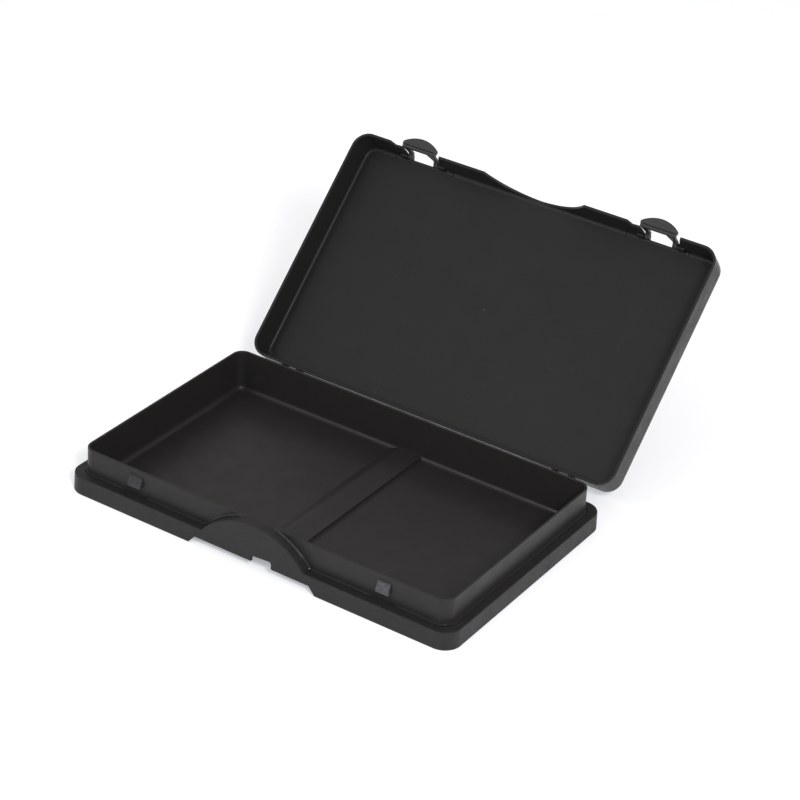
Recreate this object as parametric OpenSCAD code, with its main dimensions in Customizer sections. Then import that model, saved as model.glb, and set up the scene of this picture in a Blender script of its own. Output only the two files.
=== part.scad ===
// Flat carrying case: a skirted base shell with a drop-in tray, and a shallow
// lid on two rear hinges, held shut by two snap latches on its front rim.
// Millimetres, +Z up, +Y towards the hinges. The origin is the centre of the
// underside. The lid is drawn shut and then swung open to its stop.

/* [Case] */
// Width of the base, left to right
case_w = 340; // [320:1:360]
// Depth of the base, front to back
case_d = 212; // [205:1:230]
// Height of the flat ledge that the lid closes on
ledge_h = 14.6; // [13.5:0.1:16]
// Outside corner radius of the base and the lid
corner_r = 14; // [13:0.5:18]
// Thickness of the outer skirt and the ledge
skirt_t = 2.4; // [2:0.1:2.8]

/* [Tray] */
// Width of the ledge, from the skirt's face to the tray wall
ledge_w = 8.3; // [8:0.1:9.5]
// Height of the tray wall's top above the ground
tray_h = 35.6; // [34:0.1:36]
// Outside corner radius of the tray wall
tray_r = 9.7; // [9:0.1:11]
// Thickness of the tray's floor
floor_t = 2; // [1.6:0.1:2.4]
// Width of the raised band that runs front to back
band_w = 25.8; // [20:0.2:32]
// Height of the raised band above the floor
band_h = 4; // [3:0.1:5]

/* [Grip] */
// Radius of the arch over the front grip
arch_r = 57.4; // [55:0.2:60]
// Height of the arch's top above the ground
arch_top = 36.8; // [35:0.1:37]
// Half width of the finger recess along the front skirt's lower edge
recess_half = 50; // [44:1:54]
// Height of the finger recess
recess_h = 6.5; // [5:0.5:8]
// Depth of the finger pocket behind the grip, from the tray wall
pocket_d = 23; // [18:1:24]
// Height of the finger pocket
pocket_h = 16; // [14:0.5:16.5]

/* [Lid] */
// How far the lid's sides stand in from the skirt
lid_inset = 3.6; // [3.2:0.1:4]
// Height of the shut lid's top above the ground
lid_top = 39.6; // [39.4:0.1:41]
// Thickness of the lid's panel
lid_t = 1.8; // [1.6:0.1:2]
// Gap between the shut lid's rim and the ledge
lid_gap = 0.3; // [0.2:0.05:0.5]
// Angle that the lid opens to, at its stop
open_angle = 135; // [110:1:135]

/* [Latches] */
// Distance of each latch from the case's middle
latch_x = 110; // [95:1:120]
// Width of a latch's finger tab
tab_w = 32.4; // [30:0.2:36]
// How far a finger tab stands out in front of the base
tab_out = 6.2; // [4:0.2:8]
// Width of the catch on the tray wall
catch_w = 11.6; // [10:0.2:16]

/* [Hinges] */
// Distance of each hinge from the case's middle
hinge_x = 125.5; // [110:0.5:135]
// Distance of the hinge axis behind the base
hinge_out = 4; // [4:0.1:5]
// Height of the hinge axis above the ground
hinge_z = 16.65; // [16.4:0.05:17.2]
// Radius of the hinge pins
pin_r = 1.5; // [1.2:0.1:1.6]

/* [Hidden] */
$fn = 64;
e = 0.01;

hy = case_d/2 + hinge_out;          // hinge axis, Y
tw = case_w - 2*ledge_w;            // tray wall's outside, width
td = case_d - 2*ledge_w;            // tray wall's outside, depth
lw = case_w - 2*lid_inset;          // lid's outside, width
ld = case_d - 2*lid_inset;          // lid's outside, depth
arch_zc = arch_top - arch_r;        // arch centre, Z
front = -case_d/2;                  // front face of the base
wall_y = -td/2;                     // front face of the tray wall
lid_y = -ld/2;                      // front face of the lid's rim
back_in = 1.5;                      // how much further in the lid's rear wall stands
lid_z0 = ledge_h + lid_gap;         // free edge of the shut lid's rim
lid_in = lid_top - lid_t;           // inside face of the lid's panel
fit = 0.15;                         // clearance round the tray in the ledge
run = 0.06;                         // running clearance of pins, on radius

// latch, shut
latch_y = lid_y - 1.25;             // outside face of a latch's plate
latch_t = 1.95;                     // thickness of the plate
bar_z0 = 18;                        // underside of the latch's bar
bar_z1 = 21.2;                      // top of the latch's bar
piv_z = 34.4;                       // latch pivot, Z
piv_y = lid_y + 2.5;                // latch pivot, Y
trun_r = 1.1;                       // radius of the latch's trunnions
arm_out = 14;                       // outer half width of the latch's arms
cut_z = 32;                         // height that the wide cut-out ends at

// ---------- helpers ----------
// extrude a (Y, Z) outline along X, centred
module along_x(len) { rotate([90, 0, 90]) linear_extrude(len, center = true) children(); }
// extrude an (X, Z) outline along +Y from y0 to y1
module along_y(y0, y1) { translate([0, y1, 0]) rotate([90, 0, 0]) linear_extrude(y1 - y0) children(); }
// flat plate with rounded corners
module plate(w, d, r, h) {
  linear_extrude(h) union() {
    square([w - 2*r, d], center = true);
    square([w, d - 2*r], center = true);
    for (x = [-1, 1], y = [-1, 1]) translate([x*(w/2 - r), y*(d/2 - r)]) circle(r);
  }
}
// carry a (inward, Z) profile round a rounded rectangle
module ring(w, d, r, pts) {
  for (s = [-1, 1]) {
    scale([1, 1, 1]) mirror([0, s > 0 ? 1 : 0, 0]) translate([0, -d/2, 0])
      along_x(w - 2*r) polygon(pts);
    mirror([s > 0 ? 1 : 0, 0, 0]) translate([-w/2, 0, 0]) rotate([0, 0, -90])
      along_x(d - 2*r) polygon(pts);
  }
  for (x = [0, 1], y = [0, 1]) mirror([x, 0, 0]) mirror([0, y, 0])
    translate([w/2 - r, d/2 - r, 0])
      rotate_extrude(angle = 90) polygon([for (p = pts) [r - p[0], p[1]]]);
}
// swing a piece that is drawn shut to the open pose
module opened() {
  translate([0, hy, hinge_z]) rotate([-open_angle, 0, 0]) translate([0, -hy, -hinge_z]) children();
}
// the arch's outline in X and Z, from the height z0 up to the arc of radius r
module arch2d(r, z0) {
  intersection() {
    translate([0, arch_zc]) circle(r, $fn = 160);
    translate([-r, z0]) square([2*r, 100]);
  }
}

// ---------- base ----------
skirt_pts = [[0, 0], [0.3, 13.4], [0.6, 14.2], [1.3, ledge_h], [6.5, ledge_h],
             [6.5, ledge_h - skirt_t], [2.9, ledge_h - skirt_t], [2.5, ledge_h - skirt_t - 0.5], [skirt_t - 0.2, 0]];

module base_shell() color([0.22, 0.22, 0.23]) {
  difference() {
    union() {
      ring(case_w, case_d, corner_r, skirt_pts);
      translate([0, 0, ledge_h - skirt_t])
        difference() {
          plate(case_w - 12, case_d - 12, corner_r - 6, skirt_t);
          translate([0, 0, -1]) plate(tw + 2*fit, td + 2*fit, tray_r + fit, skirt_t + 2);
        }
      // grip: the front plate and the arched ledge over it
      along_y(front + 0.3, front + 2.6) arch2d(arch_r, recess_h + 1);
      along_y(front + 0.4, wall_y - fit) difference() {
        arch2d(arch_r, ledge_h - skirt_t);
        translate([0, arch_zc]) circle(arch_r - 2.2, $fn = 160);
      }
      // hinge knuckles
      for (s = [-1, 1]) translate([s*hinge_x, 0, 0]) {
        along_x(11.4) polygon([[case_d/2 - 0.6, 6.5], [case_d/2 - 0.1, 6.5], [hy + 2.2, 13.9],
                               [hy, 17.5], [hy - 3, 17], [case_d/2 - 1.5, ledge_h - 0.3], [case_d/2 - 1.5, 8]]);
        translate([0, hy, hinge_z]) rotate([0, 90, 0]) cylinder(r = 3.3, h = 11.4, center = true);
      }
    }
    // the ledge is open under the arch
    along_y(front + 2.6, wall_y + 2) difference() {
      arch2d(arch_r - 2.2, 5);
      translate([-100, -1]) square([200, 6.5]);
    }
    // finger recess in the skirt's lower edge, and the notch above it
    along_y(front - 1, front + 4) polygon([[-recess_half - 7, -1], [-recess_half - 6.1, 0], [-recess_half - 1.1, recess_h - 0.6],
      [-recess_half + 0.7, recess_h], [recess_half - 0.7, recess_h], [recess_half + 1.1, recess_h - 0.6],
      [recess_half + 6.1, 0], [recess_half + 7, -1]]);
    along_y(front - 1, front + 4) translate([0, recess_h])
      polygon([[0, -1], [0, 3.3], [0.5, 4.2], [1.5, 4.6], [15, 5.8], [16.4, 5.6], [17.2, 4.8], [17.5, 3.6], [17.5, -1]]);
    // bores for the hinge pins
    for (s = [-1, 1]) translate([s*hinge_x, hy, hinge_z]) rotate([0, 90, 0])
      cylinder(r = pin_r + 0.02, h = 14, center = true);
  }
}

// ---------- tray ----------
tray_pts = [[2.4, 0], [0.9, 0.5], [0.1, 2.2], [0, ledge_h], [0.35, tray_h - 0.6], [0.7, tray_h],
            [1.8, tray_h], [2.1, tray_h - 0.5], [2.8, floor_t + 3.1], [3.15, floor_t + 1.5], [4.1, floor_t + 0.45], [5.7, floor_t],
            [8.6, floor_t], [8.6, 0]];
// seating bead, on the ledge round the foot of the wall
bead_pts = [[0.4, ledge_h], [-1.0, ledge_h], [-1.0, ledge_h + 0.5], [-0.7, ledge_h + 0.9], [0.4, ledge_h + 0.9]];
pk = 46;                            // half width of the finger pocket
pk_y = wall_y + pocket_d;           // back of the finger pocket

module catch_wedge() {
  along_x(catch_w) polygon([[wall_y + 1, 32.4], [wall_y + 0.2, 32.4], [wall_y - 3.6, 23.8],
                            [wall_y - 3.6, 22.3], [wall_y + 1, 22.3]]);
}
module tray() color([0.19, 0.19, 0.19]) {
  difference() {
    union() {
      ring(tw, td, tray_r, tray_pts);
      plate(tw - 16.6, td - 16.6, tray_r - 8.3, floor_t);
      // bead on the ledge, broken at the catches, and over the arch
      difference() {
        ring(tw, td, tray_r, bead_pts);
        for (s = [-1, 1]) translate([s*latch_x - 11, wall_y - 3, ledge_h - 1]) cube([22, 2.9, 4]);
        along_y(wall_y - 3, wall_y - e) arch2d(arch_r + 0.5, ledge_h - 1);
        // the bead is lower under the lid's rear wall
        translate([-tw, td/2 + 0.4, ledge_h - 1]) cube([2*tw, 2, 4]);
      }
      along_y(wall_y - 1, wall_y + 0.4) difference() {
        intersection() {
          arch2d(arch_r + 1.4, ledge_h);
          translate([-60, 0]) square([120, tray_h - 0.3]);
        }
        translate([0, arch_zc]) circle(arch_r + 0.05, $fn = 160);
      }
      for (x = [-latch_x - 0.7, latch_x - 1]) translate([x, 0, 0]) catch_wedge();
      // snap noses under the ledge
      for (x = [-130, -75, 75, 130]) for (s = [-1, 1]) mirror([0, s > 0 ? 1 : 0, 0])
        translate([x, wall_y, 0]) along_x(12) polygon([[0.5, 8], [0, 8], [-1.2, 11.4], [-1.2, ledge_h - skirt_t], [0.5, ledge_h - skirt_t]]);
      for (y = [-50, 50]) for (s = [-1, 1]) mirror([s > 0 ? 1 : 0, 0, 0])
        translate([-tw/2, y, 0]) rotate([0, 0, -90]) along_x(12) polygon([[0.5, 8], [0, 8], [-1.2, 11.4], [-1.2, ledge_h - skirt_t], [0.5, ledge_h - skirt_t]]);
      // raised band, front to back
      along_y(pk_y, td/2 - 2) polygon([[-band_w/2 - 2.2, floor_t - e], [-band_w/2 - 0.6, floor_t + band_h - 0.8], [-band_w/2 + 0.4, floor_t + band_h],
        [band_w/2 - 0.4, floor_t + band_h], [band_w/2 + 0.6, floor_t + band_h - 0.8], [band_w/2 + 2.2, floor_t - e]]);
      // hump over the finger pocket
      along_x(2*pk + 2*floor_t) polygon([[wall_y + 0.5, 0], [pk_y + floor_t + 0.4, 0], [pk_y + floor_t, floor_t],
        [pk_y + floor_t - 0.4, pocket_h - 1.5], [pk_y + 0.9, pocket_h + 0.9], [pk_y - 1.6, pocket_h + floor_t], [wall_y + 0.5, pocket_h + floor_t]]);
    }
    // finger pocket, open below and to the grip
    along_x(2*pk) polygon([[wall_y - 2, -1], [pk_y, -1], [pk_y - 0.4, pocket_h - 2],
      [pk_y - 2.2, pocket_h], [wall_y - 2, pocket_h]]);
    // underside of the raised band, with a web across its middle
    for (s = [0, 1]) mirror([0, s, 0]) translate([-band_w/2 + floor_t, 9, -1])
      cube([band_w - 2*floor_t, (s == 1 ? -pk_y - floor_t - 1 : td/2 - 4) - 9, 1 + band_h]);
  }
}

// ---------- lid, drawn shut ----------
lid_pts = [[0, lid_z0], [1.05, lid_top - 5.8], [1.55, lid_top - 3.6], [2.7, lid_top - 1.7], [4.5, lid_top - 0.45], [6.8, lid_top],
           [11, lid_top], [11, lid_in], [4.6, lid_in], [4.6, lid_in - 0.5], [3.9, lid_in - 0.5], [3.9, lid_in], [3.3, lid_in - 0.7], [2.9, lid_in - 2.2],
           [2.4, lid_z0 + 0.2], [2.2, lid_z0]];

module lid_shut() {
  difference() {
    union() {
      difference() {
        union() {
          translate([0, -back_in/2, 0]) {
            ring(lw, ld - back_in, corner_r, lid_pts);
            translate([0, 0, lid_in]) plate(lw - 21, ld - back_in - 21, corner_r - 10.5, lid_t);
          }
          // bosses for the latch trunnions, beside each cut-out
          for (s = [-1, 1], k = [-1, 1]) translate([s*latch_x + k*17.9, 0, 0])
            along_x(6.2) polygon([[lid_y + 0.4, cut_z + 0.5], [lid_y + 0.9, cut_z], [piv_y + 1.4, cut_z], [piv_y + 1.9, cut_z + 0.8],
                                  [piv_y + 1.9, piv_z + 1], [piv_y + 2.5, lid_in + 0.5], [lid_y + 2.4, lid_in + 0.5], [lid_y + 0.6, lid_top - 5]]);
          // gussets beside the latches
          for (x = [-latch_x - 27.5, -latch_x + 27.5, latch_x - 32.3, latch_x + 23.3]) translate([x, 0, 0])
            along_x(1.6) polygon([[lid_y + 1.5, cut_z - 4], [lid_y + 2.6, cut_z - 4], [lid_y + 4.1, lid_in - 1.9], [lid_y + 6, lid_in - 1.3], [lid_y + 6, lid_in + 0.5], [lid_y + 1.5, lid_in + 0.5]]);
        }
        // the rim clears the arch of the grip
        along_y(lid_y - 2, lid_y + 9) translate([0, arch_zc]) circle(arch_r + 0.6, $fn = 160);
        // cut-outs for the latches
        for (s = [-1, 1]) along_y(lid_y - 2, lid_y + 3.4) translate([s*latch_x, 0])
          polygon([[-26.4, lid_z0 - 1], [-25.4, lid_z0], [-24.3, lid_z0 + 0.6], [-23.6, lid_z0 + 1.9], [-22.4, cut_z],
                   [16.6, cut_z], [16.8, cut_z - 2], [21.2, lid_z0 + 0.4], [21.4, lid_z0 - 1]]);
        // pockets for the latch arms, and notches in the panel's edge
        for (s = [-1, 1]) translate([s*latch_x, 0, 0]) {
          along_x(2*arm_out + 0.8) polygon([[lid_y - 2, cut_z - 4], [piv_y + 2.6, cut_z - 4], [piv_y + 2.6, piv_z + 2.5], [piv_y + 0.6, piv_z + 2.8], [lid_y - 2, piv_z + 2.8]]);
          along_x(21.4) polygon([[lid_y - 2, piv_z], [lid_y + 3.5, piv_z], [lid_y + 3.5, lid_top + 1], [lid_y - 2, lid_top + 1]]);
        }
      }
      // hinge arms, in pairs
      for (s = [-1, 1], k = [-1, 1]) translate([s*hinge_x + k*7.15, 0, 0]) {
        along_x(2.3) polygon([[ld/2 - back_in - 1, lid_z0 + 0.1], [hy, hinge_z - 1.65], [hy + 4.7, hinge_z - 1.2],
                              [hy + 4.7, hinge_z + 1.2], [hy + 1.5, hinge_z + 2.8], [ld/2 - back_in - 0.9, lid_z0 + 11], [ld/2 - back_in - 1.6, lid_z0 + 11]]);
        translate([0, hy, hinge_z]) rotate([0, 90, 0]) cylinder(r = 3.1, h = 2.3, center = true);
      }
    }
    for (s = [-1, 1]) translate([s*hinge_x, hy, hinge_z]) rotate([0, 90, 0])
      cylinder(r = pin_r + run, h = 24, center = true);
    for (s = [-1, 1]) translate([s*latch_x, piv_y, piv_z]) rotate([0, 90, 0])
      cylinder(r = trun_r + run, h = 40, center = true);
  }
}
module lid_shell() color([0.2, 0.2, 0.2]) opened() lid_shut();

// ---------- latch, drawn shut, centred on X ----------
module latch_shut() {
  difference() {
    union() {
      // bar and two arms
      along_y(latch_y, latch_y + latch_t) difference() {
        polygon([[-15.4, bar_z0], [15.4, bar_z0], [15.4, bar_z0 + 2.6], [14.6, 24], [arm_out, 29], [arm_out, piv_z],
                 [-arm_out, piv_z], [-arm_out, 29], [-14.6, 24], [-15.4, bar_z0 + 2.6]]);
        polygon([[-8.7, bar_z1], [8.7, bar_z1], [10, 30], [10, piv_z + 1], [-10, piv_z + 1], [-10, 30]]);
      }
      // knuckles, joined to the arms, and trunnions
      for (k = [-1, 1]) translate([k*12, 0, 0]) {
        translate([0, piv_y, piv_z]) rotate([0, 90, 0]) cylinder(r = 1.9, h = 4, center = true);
        along_x(4) polygon([[latch_y + 0.1, piv_z - 4.4], [latch_y + latch_t, piv_z - 4], [piv_y, piv_z - 1.9], [piv_y, piv_z + 1.9], [latch_y + 1.6, piv_z + 0.6], [latch_y + 0.1, piv_z - 0.2]]);
      }
      for (k = [-1, 1]) translate([k*16.3, piv_y, piv_z]) rotate([0, 90, 0])
        cylinder(r = trun_r, h = 7, center = true);
      // finger tab
      translate([0, 0, bar_z0]) linear_extrude(2.2) intersection() {
        translate([0, front - tab_out + 26]) circle(26, $fn = 128);
        union() {
          translate([-tab_w/2, latch_y + 0.2 - 3.6]) square([tab_w, 3.6]);
          translate([-tab_w/2 + 2.6, latch_y - 12]) square([tab_w - 5.2, 12]);
          for (k = [-1, 1]) translate([k*(tab_w/2 - 2.6), latch_y - 3.4]) circle(2.6);
        }
      }
    }
  }
}
module latch_left() color([0.24, 0.24, 0.25]) opened() translate([-latch_x, 0, 0]) latch_shut();
module latch_right() color([0.24, 0.24, 0.25]) opened() translate([latch_x, 0, 0]) latch_shut();

// ---------- hinge pins ----------
module hinge_pin() {
  translate([0, hy, hinge_z]) rotate([0, 90, 0]) {
    cylinder(r = pin_r, h = 17.6, center = true);
    for (k = [-1, 1]) translate([0, 0, k*8.95]) cylinder(r = 2.3, h = 0.7, center = true);
  }
}
module hinge_pin_left() color([0.6, 0.6, 0.62]) translate([-hinge_x, 0, 0]) hinge_pin();
module hinge_pin_right() color([0.6, 0.6, 0.62]) translate([hinge_x, 0, 0]) hinge_pin();

base_shell();
tray();
lid_shell();
latch_left();
latch_right();
hinge_pin_left();
hinge_pin_right();
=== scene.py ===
import bpy, bmesh, math
import numpy as np
from mathutils import Matrix, Vector


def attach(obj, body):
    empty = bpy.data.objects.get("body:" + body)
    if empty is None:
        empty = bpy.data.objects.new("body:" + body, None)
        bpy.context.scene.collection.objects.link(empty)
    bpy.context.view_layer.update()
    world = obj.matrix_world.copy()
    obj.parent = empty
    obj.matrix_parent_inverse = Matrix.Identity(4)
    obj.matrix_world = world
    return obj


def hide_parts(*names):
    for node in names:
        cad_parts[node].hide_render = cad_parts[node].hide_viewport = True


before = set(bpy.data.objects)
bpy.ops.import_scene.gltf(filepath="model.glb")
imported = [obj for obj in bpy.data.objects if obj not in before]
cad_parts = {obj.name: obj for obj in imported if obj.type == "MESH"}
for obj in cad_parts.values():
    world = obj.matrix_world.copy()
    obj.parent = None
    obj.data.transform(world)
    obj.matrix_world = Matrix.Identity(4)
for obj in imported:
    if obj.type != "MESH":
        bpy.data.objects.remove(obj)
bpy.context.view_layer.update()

# ---------------------------------------------------------------- the case's sizes, in millimetres
CASE_W, CASE_D, LEDGE_H, CORNER_R, SKIRT_T = 340.0, 212.0, 14.6, 14.0, 2.4
LEDGE_W, TRAY_H, TRAY_R, FLOOR_T = 8.3, 35.6, 9.7, 2.0
TW, TD = CASE_W - 2*LEDGE_W, CASE_D - 2*LEDGE_W
FRONT, WALL_Y = -CASE_D/2, -TD/2
ARCH_R, ARCH_TOP = 57.4, 36.8
ARCH_ZC = ARCH_TOP - ARCH_R
RECESS, RECESS_H = 50.0, 6.5
PK, PK_Y, PK_H = 46.0, WALL_Y + 23.0, 16.0
LW, LD, BACK_IN = CASE_W - 7.2, CASE_D - 7.2, 1.5
LID_TOP, LID_T = 39.6, 1.8
LID_IN, LID_Z0, LID_Y = LID_TOP - LID_T, LEDGE_H + 0.3, -LD/2
HY, HZ, HX = CASE_D/2 + 4.0, 16.65, 125.5
LATCH_X, LATCH_Y, LATCH_T = 110.0, LID_Y - 1.25, 1.95
PIV_Y, PIV_Z = LID_Y + 2.5, 34.4
OPEN = math.radians(135)


# ---------------------------------------------------------------- camera
def set_camera():
    az, el, roll = math.radians(31.6), math.radians(30.33), math.radians(-4.01)
    fwd = Vector((-math.sin(az)*math.cos(el), math.cos(az)*math.cos(el), -math.sin(el)))
    right = fwd.cross(Vector((0, 0, 1))).normalized()
    down = fwd.cross(right)
    c, s = math.cos(roll), math.sin(roll)
    r2 = c*right + s*down
    d2 = -s*right + c*down
    cam = bpy.data.cameras.new("camera")
    ob = bpy.data.objects.new("camera", cam)
    bpy.context.scene.collection.objects.link(ob)
    m = Matrix.Identity(4)
    for i in range(3):
        m[i][0], m[i][1], m[i][2] = r2[i], -d2[i], -fwd[i]
    m[0][3], m[1][3], m[2][3] = 0.9068, -1.3858, 1.0570
    ob.matrix_world = m
    cam.sensor_width = 36.0
    cam.lens = 2634.964/800*36.0
    cam.shift_x = -(403.967 - 400)/800
    cam.shift_y = (408.701 - 400)/800
    cam.clip_start, cam.clip_end = 0.05, 20
    bpy.context.scene.camera = ob
    return ob


# ---------------------------------------------------------------- outlines
def rounded(pts, closed=False, step=15):
    """Points (a, b) or (a, b, r) as a line whose corners are arcs of radius r."""
    out, n = [], len(pts)
    for i, p in enumerate(pts):
        r = p[2] if len(p) > 2 else 0
        if r <= 0 or (not closed and i in (0, n - 1)):
            out.append((float(p[0]), float(p[1])))
            continue
        a = np.array(pts[i - 1][:2], float)
        b = np.array(p[:2], float)
        c = np.array(pts[(i + 1) % n][:2], float)
        la, lc = np.linalg.norm(a - b), np.linalg.norm(c - b)
        d1, d2 = (a - b)/la, (c - b)/lc
        ang = math.acos(float(np.clip(d1 @ d2, -1, 1)))
        fa = 0.97 if not closed and i == 1 else 0.48
        fc = 0.97 if not closed and i == n - 2 else 0.48
        t = min(r/math.tan(ang/2), fa*la, fc*lc)
        r2 = t*math.tan(ang/2)
        mid = (d1 + d2)/np.linalg.norm(d1 + d2)
        cen = b + mid*r2/math.sin(ang/2)
        p1, p2 = b + d1*t, b + d2*t
        a1 = math.atan2(*(p1 - cen)[::-1])
        a2 = math.atan2(*(p2 - cen)[::-1])
        da = (a2 - a1 + math.pi) % (2*math.pi) - math.pi
        k = max(2, math.ceil(abs(math.degrees(da))/step))
        for j in range(k + 1):
            q = a1 + da*j/k
            out.append((cen[0] + r2*math.cos(q), cen[1] + r2*math.sin(q)))
    return out


def circle(cx, cy, r, n=48, a0=0.0, a1=360.0):
    full = abs(a1 - a0) >= 360
    return [(cx + r*math.cos(math.radians(a0 + (a1 - a0)*k/n)), cy + r*math.sin(math.radians(a0 + (a1 - a0)*k/n)))
            for k in range(n if full else n + 1)]


# ---------------------------------------------------------------- meshes, made in millimetres
def new_obj(name, verts, faces):
    me = bpy.data.meshes.new(name)
    me.from_pydata(verts, [], faces)
    bm = bmesh.new()
    bm.from_mesh(me)
    bmesh.ops.remove_doubles(bm, verts=bm.verts, dist=1e-4)
    bmesh.ops.recalc_face_normals(bm, faces=bm.faces)
    bm.to_mesh(me)
    bm.free()
    ob = bpy.data.objects.new(name, me)
    bpy.context.scene.collection.objects.link(ob)
    return ob


def ring(name, w, d, r, path, cy=0.0, closed=False, seg=14, rear=None):
    """The (inward, z) path carried round a rounded rectangle. An open path gets a flat cap at each end.
    A second path of as many points takes over along the back."""
    verts, faces = [], []
    assert rear is None or len(rear) == len(path)
    for p0, p1 in zip(path, rear or path):
        for q, (sx, sy) in enumerate(((1, 1), (-1, 1), (-1, -1), (1, -1))):
            for k in range(seg + 1):
                a = math.radians(90*q + 90*k/seg)
                f = (k/seg, 1 - k/seg, 0, 0)[q]
                f = f*f*(3 - 2*f)
                u, z = p0[0] + f*(p1[0] - p0[0]), p0[1] + f*(p1[1] - p0[1])
                rr = max(r - u, 0.15)
                verts.append((sx*(w/2 - r) + rr*math.cos(a), sy*(d/2 - r) + rr*math.sin(a) + cy, z))
    n = 4*(seg + 1)
    rows = len(path)
    for i in range(rows if closed else rows - 1):
        a, b = i*n, ((i + 1) % rows)*n
        for k in range(n):
            faces.append((a + k, a + (k + 1) % n, b + (k + 1) % n, b + k))
    if not closed:
        faces.append(tuple(range(n)))
        faces.append(tuple((rows - 1)*n + k for k in range(n)))
    return new_obj(name, verts, faces)


def prism(poly, axis, a, b, name="tool"):
    """An outline drawn out along x, y or z from a to b."""
    put = {"x": lambda p, t: (t, p[0], p[1]), "y": lambda p, t: (p[0], t, p[1]), "z": lambda p, t: (p[0], p[1], t)}[axis]
    n = len(poly)
    verts = [put(p, a) for p in poly] + [put(p, b) for p in poly]
    faces = [tuple(range(n)), tuple(range(n, 2*n))] + [(i, (i + 1) % n, n + (i + 1) % n, n + i) for i in range(n)]
    return new_obj(name, verts, faces)


def block(x0, x1, y0, y1, z0, z1):
    return prism([(y0, z0), (y1, z0), (y1, z1), (y0, z1)], "x", x0, x1)


def arc_sweep(path, half, zc, seg=72, name="tool"):
    """A closed (y, radius) outline carried along an arc about the front-to-back line at height zc."""
    verts, faces = [], []
    n = len(path)
    for k in range(seg + 1):
        a = math.radians(-half + 2*half*k/seg)
        for y, rho in path:
            verts.append((rho*math.sin(a), y, zc + rho*math.cos(a)))
    for k in range(seg):
        for i in range(n):
            faces.append((k*n + i, k*n + (i + 1) % n, (k + 1)*n + (i + 1) % n, (k + 1)*n + i))
    faces.append(tuple(range(n)))
    faces.append(tuple(seg*n + i for i in range(n)))
    return new_obj(name, verts, faces)


def rod(x0, x1, y, z, r, n=40):
    return prism(circle(y, z, r, n), "x", x0, x1)


def applied(ob):
    dg = bpy.context.evaluated_depsgraph_get()
    dg.update()
    me = bpy.data.meshes.new_from_object(ob.evaluated_get(dg))
    ob.modifiers.clear()
    old = ob.data
    ob.data = me
    bpy.data.meshes.remove(old)
    return ob


def boolean(target, tools, op):
    for t in tools:
        m = target.modifiers.new("cut", "BOOLEAN")
        m.operation = op
        m.object = t
        m.solver = "MANIFOLD"
    applied(target)
    for t in tools:
        bpy.data.objects.remove(t)
    return target


def cut(target, *tools):
    return boolean(target, tools, "DIFFERENCE")


def join(target, *tools):
    return boolean(target, tools, "UNION")


def dress(ob, bevel, seg=2, angle=38, name=None):
    """Clean the mesh, round its edges, smooth its normals, and bring it to metres."""
    bm = bmesh.new()
    bm.from_mesh(ob.data)
    bmesh.ops.remove_doubles(bm, verts=bm.verts, dist=0.01)
    bmesh.ops.dissolve_degenerate(bm, edges=bm.edges, dist=0.005)
    bmesh.ops.triangulate(bm, faces=[f for f in bm.faces if len(f.verts) > 4], quad_method="BEAUTY", ngon_method="BEAUTY")
    bm.to_mesh(ob.data)
    bm.free()
    if bevel:
        m = ob.modifiers.new("edges", "BEVEL")
        m.width = bevel
        m.segments = seg
        m.limit_method = "ANGLE"
        m.angle_limit = math.radians(angle)
        m.use_clamp_overlap = False
        m.miter_outer = "MITER_ARC"
        applied(ob)
    ob.data.shade_smooth()
    ob.data.set_sharp_from_angle(angle=math.radians(55))
    m = ob.modifiers.new("normals", "WEIGHTED_NORMAL")
    m.keep_sharp = True
    m.weight = 60
    applied(ob)
    ob.data.transform(Matrix.Scale(0.001, 4))
    if name:
        ob.name = name
        ob.data.name = name
    return ob


def swung(ob):
    """A piece drawn shut, swung open about the hinge line."""
    c = Vector((0, HY/1000, HZ/1000))
    ob.data.transform(Matrix.Translation(c) @ Matrix.Rotation(-OPEN, 4, "X") @ Matrix.Translation(-c))
    return ob


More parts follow.
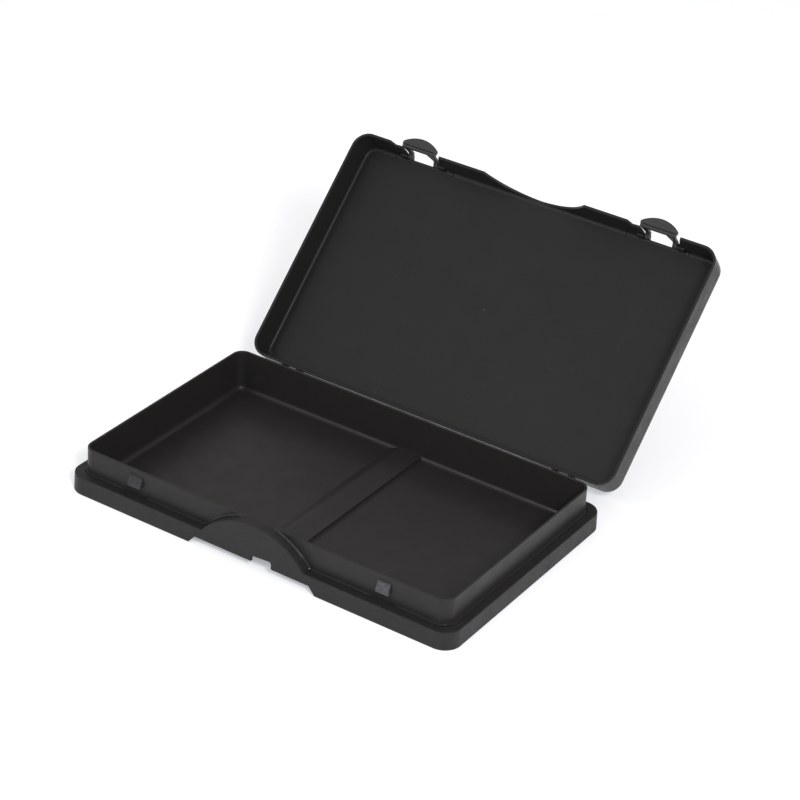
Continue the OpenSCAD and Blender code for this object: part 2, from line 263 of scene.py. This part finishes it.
# ---------------------------------------------------------------- base shell
def make_base():
    path = rounded([(0, 0, 0.5), (0.45, 13.4), (0.6, LEDGE_H, 1.0), (LEDGE_W - 0.15, LEDGE_H), (LEDGE_W - 0.15, LEDGE_H - SKIRT_T),
                    (2.9, LEDGE_H - SKIRT_T, 0.8), (SKIRT_T - 0.2, 0, 0.5)], closed=True)
    base = ring("base_shell_looks", CASE_W, CASE_D, CORNER_R, path, closed=True, seg=18)
    half = math.degrees(math.acos((12.5 - ARCH_ZC)/ARCH_R))
    band = rounded([(FRONT + 0.35, ARCH_R - 29), (FRONT + 0.35, ARCH_R, 1.3), (WALL_Y - 0.15, ARCH_R), (WALL_Y - 0.15, ARCH_R - 2.2),
                    (FRONT + 2.6, ARCH_R - 2.2, 0.7), (FRONT + 2.6, ARCH_R - 29)], closed=True)
    join(base, arc_sweep(band, half, ARCH_ZC))
    # hinge knuckles
    for s in (-1, 1):
        arm = rounded([(CASE_D/2 - 1.0, 6.5), (CASE_D/2 - 0.1, 6.5, 0.8), (HY + 2.4, 13.9, 1.5), (HY, 17.5), (HY - 3, 17, 0.6),
                       (CASE_D/2 - 1.5, LEDGE_H - 0.3), (CASE_D/2 - 1.5, 8)], closed=True)
        join(base, prism(arm, "x", s*HX - 5.7, s*HX + 5.7), rod(s*HX - 5.7, s*HX + 5.7, HY, HZ, 3.28))
    # the open space under the arch
    rr = ARCH_R - 2.2
    a = math.degrees(math.asin((5.5 - ARCH_ZC)/rr))
    cut(base, prism(circle(0, ARCH_ZC, rr, 72, a, 180 - a), "y", FRONT + 2.6, WALL_Y + 3))
    # finger recess, and the notch over it
    h = RECESS_H
    rec = rounded([(-RECESS - 9, -6), (-RECESS - 6.1, 0), (-RECESS - 0.5, h, 1.6), (RECESS + 0.5, h, 1.6), (RECESS + 6.1, 0), (RECESS + 9, -6)], closed=True)
    notch = rounded([(0, h - 3), (0, h + 4.6, 1.1), (17.5, h + 6.0, 2.0), (17.5, h - 3)], closed=True)
    tool = prism(rec, "y", FRONT - 1, FRONT + 4)
    join(tool, prism(notch, "y", FRONT - 1.2, FRONT + 4.2))
    cut(base, tool)
    for s in (-1, 1):
        cut(base, rod(s*HX - 8, s*HX + 8, HY, HZ, 1.52))
    return dress(base, 0.14, name="base_shell_looks")


# ---------------------------------------------------------------- tray
def make_tray():
    def outer(lean, r):
        return rounded([(9.4, 0), (1.6, 0, 1.4), (0.05, 2.6, 3), (0, LEDGE_H), (-0.95, LEDGE_H), (-0.95, LEDGE_H + 0.9, 0.45), (0, LEDGE_H + 0.9, 0.15),
                        (lean, TRAY_H, r), (2.1, TRAY_H, 1.0), (3.0, FLOOR_T, 4.2), (9.4, FLOOR_T)], step=10)
    tray = ring("tray_looks", TW, TD, TRAY_R, outer(0.2, 0.5), seg=14, rear=outer(0.5, 0.6))
    # the bead is left out at the catches, at the arch and under the lid's rear wall
    half = math.sqrt(ARCH_R**2 - (LEDGE_H - ARCH_ZC)**2)
    cut(tray, block(-LATCH_X - 11.5, -LATCH_X + 10.5, WALL_Y - 3, WALL_Y, LEDGE_H - 1, LEDGE_H + 3),
        block(LATCH_X - 12, LATCH_X + 10, WALL_Y - 3, WALL_Y, LEDGE_H - 1, LEDGE_H + 3),
        block(-half, half, WALL_Y - 3, WALL_Y, LEDGE_H - 1, LEDGE_H + 3),
        block(-TW, TW, TD/2 + 0.38, TD/2 + 3, LEDGE_H - 1, LEDGE_H + 3))
    # bead round the arch
    ah = math.degrees(math.acos((LEDGE_H - 0.3 - ARCH_ZC)/ARCH_R))
    path = rounded([(WALL_Y - 0.95, ARCH_R), (WALL_Y - 0.95, ARCH_R + 1.4, 0.5), (WALL_Y + 0.8, ARCH_R + 1.4), (WALL_Y + 0.8, ARCH_R)], closed=True)
    bead = arc_sweep(path, ah, ARCH_ZC)
    cut(bead, block(-40, 40, WALL_Y - 3, WALL_Y + 3, TRAY_H - 0.35, 60))
    join(tray, bead)
    # catches
    for x, h in ((-LATCH_X - 0.7, 5.8), (LATCH_X - 1.5, 5.4)):
        w = rounded([(WALL_Y + 1, 32.3), (WALL_Y + 0.25, 32.3, 0.3), (WALL_Y - 2.9, 25.9, 6.0), (WALL_Y - 3.6, 23.4, 0.5), (WALL_Y - 3.6, 22.35, 0.3), (WALL_Y + 1, 22.35)], closed=True)
        n, e = len(w), 0.5
        verts = [(q, y + (e*0.8 if i in (0, 3) and y < WALL_Y + 0.5 else 0), z) for i, q in enumerate((x - h, x - h + e, x + h - e, x + h)) for y, z in w]
        faces = [(i*n + k, i*n + (k + 1) % n, (i + 1)*n + (k + 1) % n, (i + 1)*n + k) for i in range(3) for k in range(n)]
        faces += [tuple(reversed(range(n))), tuple(range(3*n, 4*n))]
        join(tray, new_obj("tool", verts, faces))
    # snap noses under the ledge
    z = LEDGE_H - SKIRT_T
    nose = [(0.6, 8), (0, 8), (-1.2, 11.4), (-1.2, z), (0.6, z)]
    for x in (-130, -75, 75, 130):
        for s in (-1, 1):
            join(tray, prism([(s*(WALL_Y + a), b) for a, b in nose], "x", x - 6, x + 6))
    for y in (-50, 50):
        for s in (-1, 1):
            join(tray, prism([(s*(-TW/2 + a), b) for a, b in nose], "y", y - 6, y + 6))
    # band, front to back
    t, xl = FLOOR_T + 2.8, -13.4
    band = rounded([(xl - 0.6, FLOOR_T - 0.5), (xl, FLOOR_T + 0.02, 9.0), (xl + 7.5, t, 9.0), (15.0, t, 0.5), (15.35, FLOOR_T + 0.02, 0.9), (17.5, FLOOR_T + 0.02), (18.0, FLOOR_T - 0.5)], closed=True)
    join(tray, prism(band, "y", PK_Y, TD/2 - 2.6))
    # hump over the finger pocket
    hump = rounded([(WALL_Y + 1.2, 0.3), (PK_Y + 2.4, 0.3), (PK_Y + 2.1, 2), (PK_Y + 1.7, PK_H + 1.98, 2.6), (WALL_Y + 1.2, PK_H + 1.98)], closed=True)
    join(tray, prism(hump, "x", -PK - 2, PK + 2))
    pocket = rounded([(WALL_Y - 2, -1), (PK_Y, -1), (PK_Y - 0.4, PK_H, 2.0), (WALL_Y - 2, PK_H)], closed=True)
    cut(tray, prism(pocket, "x", -PK, PK))
    # hollow underside of the band, with a web across its middle
    cut(tray, block(-5.5, 13, 9, TD/2 - 7, -1, 3), block(-5.5, 13, PK_Y + 3, -9, -1, 3))
    return dress(tray, 0.14, name="tray_looks")


# ---------------------------------------------------------------- lid, drawn shut
def make_lid():
    def path(cove, rim):
        return rounded([(13.4, LID_TOP), (1.75, LID_TOP, 4.6), (1.1, 33.5), (0, LID_Z0, 0.35), (2.15, LID_Z0, rim), (3.05, LID_IN, cove), (13.4, LID_IN)], step=10)
    lid = ring("lid_looks", LW, LD - BACK_IN, CORNER_R, path(2.5, 0.5), cy=-BACK_IN/2, seg=18, rear=path(4.8, 0.5))
    cz = 32.0
    for s in (-1, 1):
        X = s*LATCH_X
        for k in (-1, 1):
            boss = rounded([(LID_Y + 0.9, cz, 0.5), (PIV_Y + 1.85, cz, 0.8), (PIV_Y + 1.85, PIV_Z + 1), (PIV_Y + 2.4, LID_IN + 0.5), (LID_Y + 3.0, LID_IN + 0.5), (LID_Y + 0.6, 34.6)], closed=True)
            join(lid, prism(boss, "x", X + k*17.9 - 3.1, X + k*17.9 + 3.1))
    for x in (-LATCH_X - 27.5, -LATCH_X + 27.5, LATCH_X - 32.3, LATCH_X + 23.3):
        g = rounded([(LID_Y + 1.5, 28), (LID_Y + 2.4, 28), (LID_Y + 3.9, LID_IN - 1.7, 0.9), (LID_Y + 6.2, LID_IN - 1.1, 0.5), (LID_Y + 6.4, LID_IN + 0.5), (LID_Y + 3, LID_IN + 0.5), (LID_Y + 1.5, 35)], closed=True)
        join(lid, prism(g, "x", x - 0.75, x + 0.75))
    # the rim clears the arch of the grip
    cut(lid, prism(circle(0, ARCH_ZC, ARCH_R + 0.6, 160), "y", LID_Y - 2, LID_Y + 9))
    # cut-outs for the latches, pockets for their arms, and notches in the panel's edge
    for s in (-1, 1):
        X = s*LATCH_X
        c = rounded([(X - 30, LID_Z0 - 3), (X - 25.6, LID_Z0 - 0.05, 0.6), (X - 21.9, 20.8, 1.0), (X - 19.6, 20.0, 0.5), (X - 15.9, 19.8, 0.4), (X - 15.75, 21.6), (X - 14.75, 25.3), (X - 14.5, 29.2), (X - 14.5, cz), (X + 14.8, cz), (X + 14.8, 30.0), (X + 17.0, 29.6, 1.0), (X + 21.2, LID_Z0 + 0.4), (X + 22, LID_Z0 - 3)], closed=True)
        cut(lid, prism(c, "y", LID_Y - 2, LID_Y + 3.4))
        cut(lid, block(X - 14.4, X + 14.4, LID_Y - 2, PIV_Y + 2.6, cz - 4, PIV_Z + 2.3))
        cut(lid, block(X - 10.7, X + 10.7, LID_Y - 2.1, LID_Y + 3.5, PIV_Z, LID_TOP + 1))
        cut(lid, rod(X - 20.5, X + 20.5, PIV_Y, PIV_Z, 1.2))
    # hinge arms, in pairs
    yb = LD/2 - BACK_IN
    for s in (-1, 1):
        for k in (-1, 1):
            x = s*HX + k*7.15
            arm = rounded([(yb - 1.2, LID_Z0 + 0.15), (HY, HZ - 1.65, 0.8), (HY + 4.65, HZ - 1.2, 0.4), (HY + 4.65, HZ + 1.2, 0.8), (HY + 1.5, HZ + 2.8, 3), (yb - 0.85, LID_Z0 + 11, 0.8), (yb - 1.6, LID_Z0 + 11)], closed=True)
            join(lid, prism(arm, "x", x - 1.14, x + 1.14), rod(x - 1.14, x + 1.14, HY, HZ, 3.08))
        cut(lid, rod(s*HX - 12, s*HX + 12, HY, HZ, 1.56))
    # small marks left by the mould's gate on the inside of the panel
    for x, y, r in ((-4, -3, 2.3), (51.6, -16.3, 0.7), (86.6, 12.6, 0.7)):
        dome = [(r, 0.0), (r*0.8, 0.16), (r*0.45, 0.3), (0.0001, 0.34)]
        n = 28
        verts = [(x + q*math.cos(2*math.pi*k/n), y + q*math.sin(2*math.pi*k/n), LID_IN - h) for q, h in dome[:-1] for k in range(n)] + [(x, y, LID_IN - dome[-1][1])]
        verts += [(x + r*math.cos(2*math.pi*k/n), y + r*math.sin(2*math.pi*k/n), LID_IN + 0.5) for k in range(n)]
        m = 3*n
        faces = [(i*n + k, i*n + (k + 1) % n, (i + 1)*n + (k + 1) % n, (i + 1)*n + k) for i in range(2) for k in range(n)]
        faces += [(2*n + k, 2*n + (k + 1) % n, m) for k in range(n)]
        faces += [(k, (k + 1) % n, m + 1 + (k + 1) % n, m + 1 + k) for k in range(n)] + [tuple(m + 1 + k for k in range(n))]
        join(lid, new_obj("tool", verts, faces))
    return swung(dress(lid, 0.14, name="lid_looks"))


# ---------------------------------------------------------------- latches, drawn shut
def make_latch(name, X):
    y0, y1 = LATCH_Y, LATCH_Y + LATCH_T
    z0, z1 = 18.0, 21.2
    frame_ = rounded([(-15.4, z0), (15.4, z0), (15.4, z0 + 3, 1.5), (14.3, 25, 3), (14, 29, 2), (14, PIV_Z - 2.1), (-14, PIV_Z - 2.1), (-14, 29, 2), (-14.3, 25, 3), (-15.4, z0 + 3, 1.5)], closed=True)
    latch = prism(frame_, "y", y0, y1, name)
    hole = rounded([(-9.1, z1, 0.8), (6.9, z1, 0.6), (10.0, 34.2), (10.0, PIV_Z + 3), (-9.8, PIV_Z + 3), (-9.8, 31, 2)], closed=True)
    cut(latch, prism(hole, "y", y0 - 3, y1 + 3))
    for k in (-1, 1):
        arm = rounded([(y0 + 0.1, PIV_Z - 4.4), (y1, PIV_Z - 4), (PIV_Y, PIV_Z - 1.9), (PIV_Y, PIV_Z + 1.9), (PIV_Y - 1.3, PIV_Z + 1.38), (y0 + 0.1, PIV_Z - 2.5, 0.5)], closed=True)
        join(latch, prism(arm, "x", k*12 - 1.98, k*12 + 1.98), rod(k*12 - 1.98, k*12 + 1.98, PIV_Y, PIV_Z, 1.9), rod(k*16.3 - 3.5, k*16.3 + 3.5, PIV_Y, PIV_Z, 1.1, 28))
    # finger tab: a flat D plate of even thickness, grooved across its root
    R, yc = 26.0, FRONT - 6.2 + 26.0
    hw = 16.2
    pts = []
    a = math.degrees(math.asin((hw - 1.2)/R))
    yb = y0 + 0.3
    front_edge = [(R*math.sin(math.radians(t)), yc - R*math.cos(math.radians(t))) for t in np.linspace(-a, a, 33)]
    tab = rounded([(-hw + 0.6, yb), (-hw, yb - 1.2, 0.6), (-hw, yb - 3.0, 1.2)] + front_edge + [(hw, yb - 3.0, 1.2), (hw, yb - 1.2, 0.6), (hw - 0.6, yb)], closed=True)
    top = prism(tab, "z", z0, z0 + 2.2)
    join(latch, top)
    cut(latch, block(-13.8, 13.8, y0 - 0.8, y0 - 0.05, z0 - 1, z0 + 1.5))
    ob = dress(latch, 0.2, seg=2, name=name)
    ob.data.transform(Matrix.Translation((X/1000, 0, 0)))
    return swung(ob)


# ---------------------------------------------------------------- materials
class Nodes:
    def __init__(self, tree):
        self.t = tree

    def add(self, kind, **sets):
        n = self.t.nodes.new(kind)
        for k, v in sets.items():
            setattr(n, k, v)
        return n

    def link(self, a, b):
        self.t.links.new(a, b)


def plastic(name, dark, light, rough, grain, grain_scale, wave=0.0, rub=0.25, spec=0.5, depth=0.0006, outside=None, catch_glint=None):
    """Moulded plastic: cloudy tone, patchy gloss, spark-eroded grain, faint handling marks."""
    m = bpy.data.materials.new(name)
    m.use_nodes = True
    t = m.node_tree
    g = Nodes(t)
    bsdf = t.nodes["Principled BSDF"]
    co = g.add("ShaderNodeTexCoord").outputs["Object"]
    # tone
    cloud = g.add("ShaderNodeTexNoise")
    cloud.inputs["Scale"].default_value = 7.0
    cloud.inputs["Detail"].default_value = 5.0
    g.link(co, cloud.inputs["Vector"])
    fleck = g.add("ShaderNodeTexNoise")
    fleck.inputs["Scale"].default_value = grain_scale*0.6
    fleck.inputs["Detail"].default_value = 2.0
    g.link(co, fleck.inputs["Vector"])
    mixf = g.add("ShaderNodeMath", operation="MULTIPLY_ADD")
    mixf.inputs[1].default_value = 0.35
    g.link(fleck.outputs["Fac"], mixf.inputs[0])
    g.link(cloud.outputs["Fac"], mixf.inputs[2])
    ramp = g.add("ShaderNodeValToRGB")
    ramp.color_ramp.elements[0].position = 0.4
    ramp.color_ramp.elements[1].position = 0.95
    ramp.color_ramp.elements[0].color = (*dark, 1)
    ramp.color_ramp.elements[1].color = (*light, 1)
    g.link(mixf.outputs[0], ramp.inputs["Fac"])
    # faint rubbed marks, in two directions
    marks = []
    for i, (sc, rot) in enumerate((((22, 620, 60), 0.35), ((540, 26, 50), -0.2))):
        mp = g.add("ShaderNodeMapping")
        mp.inputs["Scale"].default_value = sc
        mp.inputs["Rotation"].default_value = (0.1*i, 0.07, rot)
        g.link(co, mp.inputs["Vector"])
        ns = g.add("ShaderNodeTexNoise")
        ns.inputs["Scale"].default_value = 1.0
        ns.inputs["Detail"].default_value = 3.0
        g.link(mp.outputs["Vector"], ns.inputs["Vector"])
        r = g.add("ShaderNodeMapRange")
        r.inputs["From Min"].default_value = 0.66
        r.inputs["From Max"].default_value = 0.78
        g.link(ns.outputs["Fac"], r.inputs["Value"])
        marks.append(r.outputs["Result"])
    both = g.add("ShaderNodeMath", operation="MAXIMUM")
    g.link(marks[0], both.inputs[0])
    g.link(marks[1], both.inputs[1])
    patch = g.add("ShaderNodeTexNoise")
    patch.inputs["Scale"].default_value = 9.0
    patch.inputs["Detail"].default_value = 3.0
    g.link(co, patch.inputs["Vector"])
    pr = g.add("ShaderNodeMapRange")
    pr.inputs["From Min"].default_value = 0.45
    pr.inputs["From Max"].default_value = 0.65
    g.link(patch.outputs["Fac"], pr.inputs["Value"])
    rubbed = g.add("ShaderNodeMath", operation="MULTIPLY")
    g.link(both.outputs[0], rubbed.inputs[0])
    g.link(pr.outputs["Result"], rubbed.inputs[1])
    rubbed2 = g.add("ShaderNodeMath", operation="MULTIPLY")
    rubbed2.inputs[1].default_value = rub
    g.link(rubbed.outputs[0], rubbed2.inputs[0])
    tone = g.add("ShaderNodeMix", data_type="RGBA")
    g.link(rubbed2.outputs[0], tone.inputs["Factor"])
    g.link(ramp.outputs["Color"], tone.inputs[6])
    tone.inputs[7].default_value = (light[0]*2.6 + 0.01, light[1]*2.6 + 0.01, light[2]*2.6 + 0.01, 1)
    colour = tone.outputs[2]
    if catch_glint:
        # painted highlight: the catch faces lightened towards a pale blue-grey, more on the right catch than the
        # left, broken up by fine noise
        sep = g.add("ShaderNodeSeparateXYZ")
        g.link(co, sep.inputs[0])
        last = None
        for k, a, b, lo, hi in (("Y", catch_glint[0], catch_glint[0] - 0.0009, 0, 1), ("Z", catch_glint[1], catch_glint[1] + 0.001, 0, 1), ("X", -0.05, 0.05, 0.15, 0.42)):
            r = g.add("ShaderNodeMapRange")
            r.inputs["From Min"].default_value = a
            r.inputs["From Max"].default_value = b
            r.inputs["To Min"].default_value = lo
            r.inputs["To Max"].default_value = hi
            g.link(sep.outputs[k], r.inputs["Value"])
            if last is None:
                last = r.outputs["Result"]
            else:
                mu = g.add("ShaderNodeMath", operation="MULTIPLY")
                g.link(last, mu.inputs[0])
                g.link(r.outputs["Result"], mu.inputs[1])
                last = mu.outputs[0]
        sc = g.add("ShaderNodeTexNoise")
        sc.inputs["Scale"].default_value = 420.0
        sc.inputs["Detail"].default_value = 3.0
        g.link(co, sc.inputs["Vector"])
        sr = g.add("ShaderNodeMapRange")
        sr.inputs["From Min"].default_value = 0.3
        sr.inputs["From Max"].default_value = 0.6
        sr.inputs["To Min"].default_value = 0.35
        g.link(sc.outputs["Fac"], sr.inputs["Value"])
        amt = g.add("ShaderNodeMath", operation="MULTIPLY")
        g.link(last, amt.inputs[0])
        g.link(sr.outputs["Result"], amt.inputs[1])
        glint_mix = g.add("ShaderNodeMix", data_type="RGBA")
        g.link(amt.outputs[0], glint_mix.inputs["Factor"])
        g.link(colour, glint_mix.inputs[6])
        # pale blue-grey of the painted highlight on the catches
        glint_mix.inputs[7].default_value = (0.165, 0.175, 0.20, 1)
        colour = glint_mix.outputs[2]
    g.link(colour, bsdf.inputs["Base Color"])
    # gloss
    gl = g.add("ShaderNodeMapRange")
    gl.inputs["To Min"].default_value = rough - 0.06
    gl.inputs["To Max"].default_value = rough + 0.07
    gl.inputs["From Min"].default_value = 0.3
    gl.inputs["From Max"].default_value = 0.7
    fine = g.add("ShaderNodeTexNoise")
    fine.inputs["Scale"].default_value = 55.0
    fine.inputs["Detail"].default_value = 6.0
    g.link(co, fine.inputs["Vector"])
    g.link(fine.outputs["Fac"], gl.inputs["Value"])
    gsum = g.add("ShaderNodeMath", operation="MULTIPLY_ADD")
    gsum.inputs[1].default_value = 0.25
    g.link(rubbed2.outputs[0], gsum.inputs[0])
    g.link(gl.outputs["Result"], gsum.inputs[2])
    g.link(gsum.outputs[0], bsdf.inputs["Roughness"])
    # relief
    gn = g.add("ShaderNodeTexNoise")
    gn.inputs["Scale"].default_value = grain_scale
    gn.inputs["Detail"].default_value = 3.0
    gn.inputs["Roughness"].default_value = 0.6
    g.link(co, gn.inputs["Vector"])
    b1 = g.add("ShaderNodeBump")
    b1.inputs["Strength"].default_value = grain
    b1.inputs["Distance"].default_value = depth*(1000/grain_scale)
    g.link(gn.outputs["Fac"], b1.inputs["Height"])
    if outside:
        # spark-eroded grain on the outside only, found from the place on the closed lid
        mp = g.add("ShaderNodeMapping")
        mp.inputs["Rotation"].default_value = (outside[0], 0, 0)
        mp.inputs["Location"].default_value = outside[1]
        g.link(co, mp.inputs["Vector"])
        sep = g.add("ShaderNodeSeparateXYZ")
        g.link(mp.outputs["Vector"], sep.inputs[0])
        last = None
        for k, edge in zip("XYZ", outside[2]):
            ab = g.add("ShaderNodeMath", operation="ABSOLUTE")
            g.link(sep.outputs[k], ab.inputs[0])
            far = g.add("ShaderNodeMapRange")
            far.inputs["From Min"].default_value = edge - 0.0014
            far.inputs["From Max"].default_value = edge - 0.0011
            g.link(ab.outputs[0], far.inputs["Value"])
            if last is None:
                last = far.outputs["Result"]
            else:
                mx = g.add("ShaderNodeMath", operation="MAXIMUM")
                g.link(last, mx.inputs[0])
                g.link(far.outputs["Result"], mx.inputs[1])
                last = mx.outputs[0]
        st = g.add("ShaderNodeMapRange")
        st.inputs["To Min"].default_value = grain
        st.inputs["To Max"].default_value = 0.9
        g.link(last, st.inputs["Value"])
        g.link(st.outputs["Result"], b1.inputs["Strength"])
    wv = g.add("ShaderNodeTexNoise")
    wv.inputs["Scale"].default_value = 22.0
    wv.inputs["Detail"].default_value = 2.0
    g.link(co, wv.inputs["Vector"])
    b2 = g.add("ShaderNodeBump")
    b2.inputs["Strength"].default_value = wave
    b2.inputs["Distance"].default_value = 0.002
    g.link(wv.outputs["Fac"], b2.inputs["Height"])
    g.link(b1.outputs["Normal"], b2.inputs["Normal"])
    b3 = g.add("ShaderNodeBump", invert=True)
    b3.inputs["Strength"].default_value = 0.3
    b3.inputs["Distance"].default_value = 0.00004
    g.link(rubbed2.outputs[0], b3.inputs["Height"])
    g.link(b2.outputs["Normal"], b3.inputs["Normal"])
    g.link(b3.outputs["Normal"], bsdf.inputs["Normal"])
    bsdf.inputs["Specular IOR Level"].default_value = spec
    return m


def steel(name):
    """Drawn steel pin: fine lines round the pin, small stains."""
    m = bpy.data.materials.new(name)
    m.use_nodes = True
    t = m.node_tree
    g = Nodes(t)
    bsdf = t.nodes["Principled BSDF"]
    co = g.add("ShaderNodeTexCoord").outputs["Object"]
    mp = g.add("ShaderNodeMapping")
    mp.inputs["Scale"].default_value = (9000, 300, 300)
    g.link(co, mp.inputs["Vector"])
    ln = g.add("ShaderNodeTexNoise")
    ln.inputs["Scale"].default_value = 1.0
    ln.inputs["Detail"].default_value = 3.0
    g.link(mp.outputs["Vector"], ln.inputs["Vector"])
    st = g.add("ShaderNodeTexNoise")
    st.inputs["Scale"].default_value = 600.0
    st.inputs["Detail"].default_value = 4.0
    g.link(co, st.inputs["Vector"])
    ramp = g.add("ShaderNodeValToRGB")
    ramp.color_ramp.elements[0].position = 0.35
    ramp.color_ramp.elements[1].position = 0.6
    ramp.color_ramp.elements[0].color = (0.28, 0.26, 0.24, 1)
    ramp.color_ramp.elements[1].color = (0.55, 0.55, 0.56, 1)
    g.link(st.outputs["Fac"], ramp.inputs["Fac"])
    g.link(ramp.outputs["Color"], bsdf.inputs["Base Color"])
    gl = g.add("ShaderNodeMapRange")
    gl.inputs["To Min"].default_value = 0.22
    gl.inputs["To Max"].default_value = 0.5
    g.link(ln.outputs["Fac"], gl.inputs["Value"])
    g.link(gl.outputs["Result"], bsdf.inputs["Roughness"])
    b = g.add("ShaderNodeBump")
    b.inputs["Strength"].default_value = 0.2
    b.inputs["Distance"].default_value = 0.00005
    g.link(ln.outputs["Fac"], b.inputs["Height"])
    g.link(b.outputs["Normal"], bsdf.inputs["Normal"])
    bsdf.inputs["Metallic"].default_value = 1.0
    return m


# ---------------------------------------------------------------- build
camera = set_camera()
bpy.context.scene.view_settings.view_transform = "Standard"

c, s_ = math.cos(OPEN), math.sin(OPEN)
lid_home = (0, (HY - (HY*c - HZ*s_) + BACK_IN/2)/1000, (HZ - (HY*s_ + HZ*c))/1000)
mat_base = plastic("plastic_base", (0.0185, 0.0176, 0.0173), (0.0225, 0.0214, 0.0210), 0.37, 0.9, 1000.0, spec=0.21, depth=0.0013)
# the tray material also paints a highlight on the faces of its catches
mat_tray = plastic("plastic_tray", (0.0190, 0.0180, 0.0175), (0.0220, 0.0210, 0.0205), 0.35, 0.08, 1900.0, wave=0.012, spec=0.21, catch_glint=((WALL_Y - 0.25)/1000, 0.0215))
mat_lid = plastic("plastic_lid", (0.0172, 0.0166, 0.0162), (0.0200, 0.0193, 0.0192), 0.36, 0.08, 1900.0, wave=0.010, spec=0.19, depth=0.0008,
                  outside=(OPEN, lid_home, (LW/2000, (LD - BACK_IN)/2000, LID_TOP/1000)))
mat_latch = plastic("plastic_latch", (0.0320, 0.0307, 0.0304), (0.0420, 0.0405, 0.0400), 0.38, 0.9, 1000.0, spec=0.36, depth=0.0010)
mat_pin = steel("steel_pin")

pieces = [
    (make_base(), "base", "base_shell", "base", mat_base),
    (make_tray(), "base", "tray", "tray", mat_tray),
    (make_lid(), "lid", "lid_shell", "lid", mat_lid),
    (make_latch("latch_left_looks", -LATCH_X), "latch_left", "latch_left", "latch", mat_latch),
    (make_latch("latch_right_looks", LATCH_X), "latch_right", "latch_right", "latch", mat_latch),
]
for ob, body, node, slot, mat in pieces:
    ob.data.materials.clear()
    ob.data.materials.append(mat)
    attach(ob, body)
    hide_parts(node)
slot_mat = {"base_shell": mat_base, "tray": mat_tray, "lid_shell": mat_lid, "latch_left": mat_latch, "latch_right": mat_latch,
            "hinge_pin_left": mat_pin, "hinge_pin_right": mat_pin}
for n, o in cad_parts.items():
    o.data.materials.clear()
    o.data.materials.append(slot_mat[n])


# ---------------------------------------------------------------- floor and light
floor = bpy.data.meshes.new("floor")
floor.from_pydata([(-8, -8, 0), (8, -8, 0), (8, 8, 0), (-8, 8, 0)], [], [(0, 1, 2, 3)])
fo = bpy.data.objects.new("floor", floor)
bpy.context.scene.collection.objects.link(fo)
fo.location.z = -0.0002
fm = bpy.data.materials.new("floor")
fm.use_nodes = True
fb = fm.node_tree.nodes["Principled BSDF"]
fb.inputs["Base Color"].default_value = (0.86, 0.86, 0.86, 1)
fb.inputs["Roughness"].default_value = 0.95
fb.inputs["Specular IOR Level"].default_value = 0.1
fb.inputs["Emission Color"].default_value = (0.95, 0.975, 1.05, 1)
fb.inputs["Emission Strength"].default_value = 0.365
floor.materials.append(fm)


def area(name, loc, target, size, power, color=(1, 1, 1)):
    l = bpy.data.lights.new(name, "AREA")
    l.shape = "RECTANGLE"
    l.size, l.size_y = size
    l.energy = power
    l.color = color
    o = bpy.data.objects.new(name, l)
    bpy.context.scene.collection.objects.link(o)
    o.location = loc
    d = Vector(target) - Vector(loc)
    o.rotation_euler = d.to_track_quat("-Z", "Y").to_euler()
    return o


def sky(front, back, top):
    """Dim room above the floor: brighter behind the camera than behind the case."""
    w = bpy.data.worlds.new("world")
    bpy.context.scene.world = w
    w.use_nodes = True
    t = w.node_tree
    g = Nodes(t)
    bg = t.nodes["Background"]
    co = g.add("ShaderNodeTexCoord").outputs["Generated"]
    sep = g.add("ShaderNodeSeparateXYZ")
    g.link(co, sep.inputs[0])
    ramp = g.add("ShaderNodeMapRange")
    ramp.interpolation_type = "SMOOTHSTEP"
    ramp.inputs["From Min"].default_value = -0.8
    ramp.inputs["From Max"].default_value = 0.6
    ramp.inputs["To Min"].default_value = front
    ramp.inputs["To Max"].default_value = back
    g.link(sep.outputs["Y"], ramp.inputs["Value"])
    up = g.add("ShaderNodeMapRange")
    up.interpolation_type = "SMOOTHSTEP"
    up.inputs["From Min"].default_value = 0.75
    up.inputs["From Max"].default_value = 1.0
    g.link(sep.outputs["Z"], up.inputs["Value"])
    mix = g.add("ShaderNodeMix", data_type="FLOAT")
    g.link(up.outputs["Result"], mix.inputs[0])
    g.link(ramp.outputs["Result"], mix.inputs[2])
    mix.inputs[3].default_value = top
    g.link(mix.outputs[0], bg.inputs["Strength"])
    bg.inputs["Color"].default_value = (1, 0.985, 0.975, 1)


sky(0.58, 0.64, 0.5)
area("key", (1.5, -1.25, 1.6), (0, 0.05, 0.05), (0.5, 0.5), 31)
area("front", (-0.85, -1.6, 1.5), (0, 0.05, 0.05), (0.5, 0.4), 8)
